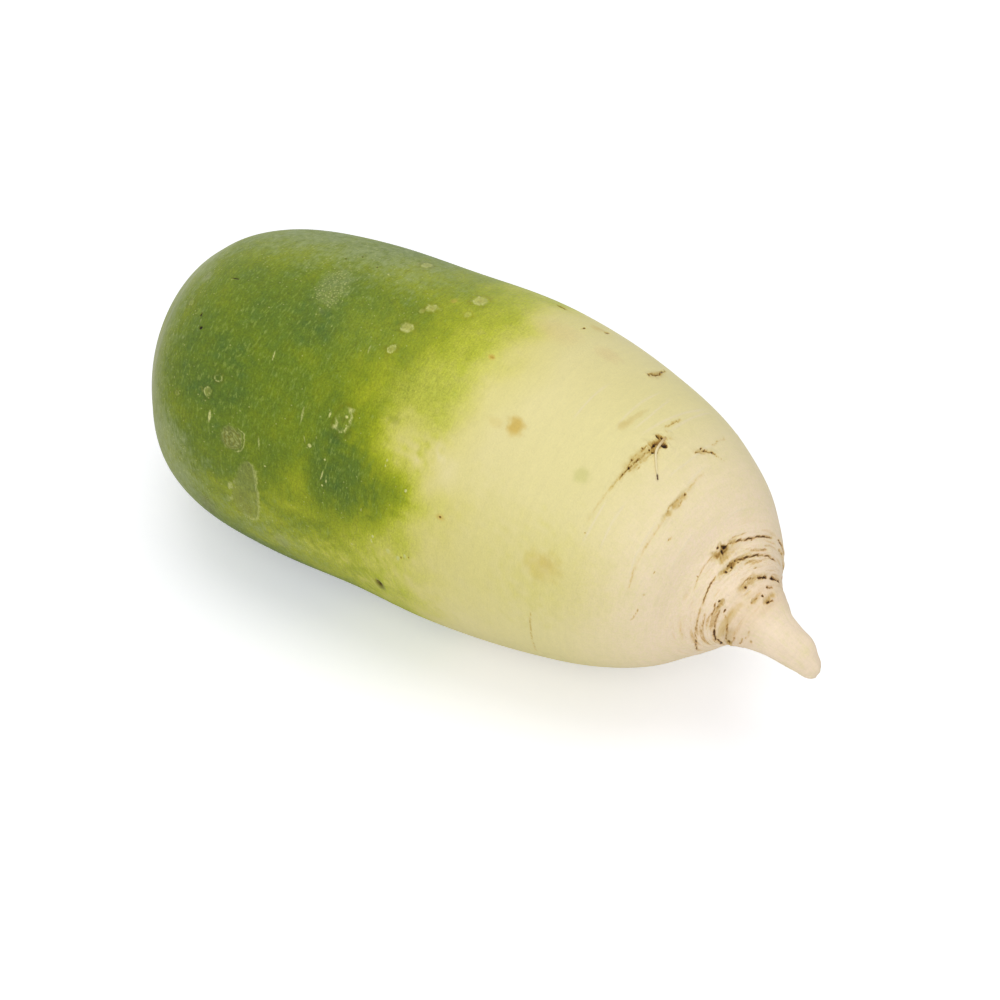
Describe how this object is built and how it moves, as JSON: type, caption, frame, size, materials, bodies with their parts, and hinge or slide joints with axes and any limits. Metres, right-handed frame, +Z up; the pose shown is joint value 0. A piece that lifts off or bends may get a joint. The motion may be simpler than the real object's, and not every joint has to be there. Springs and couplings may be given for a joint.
{
  "type": "green radish",
  "caption": "Whole green radish lying on its side: a stout root with a green shoulder, a cream lower half and a short hooked tail.",
  "frame": {"origin": "middle of the bounding box's bottom, on the surface that the root lies on", "axes": "+X along the root from its crown to its tail, +Z up"},
  "size_m": [0.2062, 0.092, 0.0893],
  "materials": {
    "skin": "satin"
  },
  "bodies": {
    "root": {"radish": "skin"}
  },
  "joints": []
}
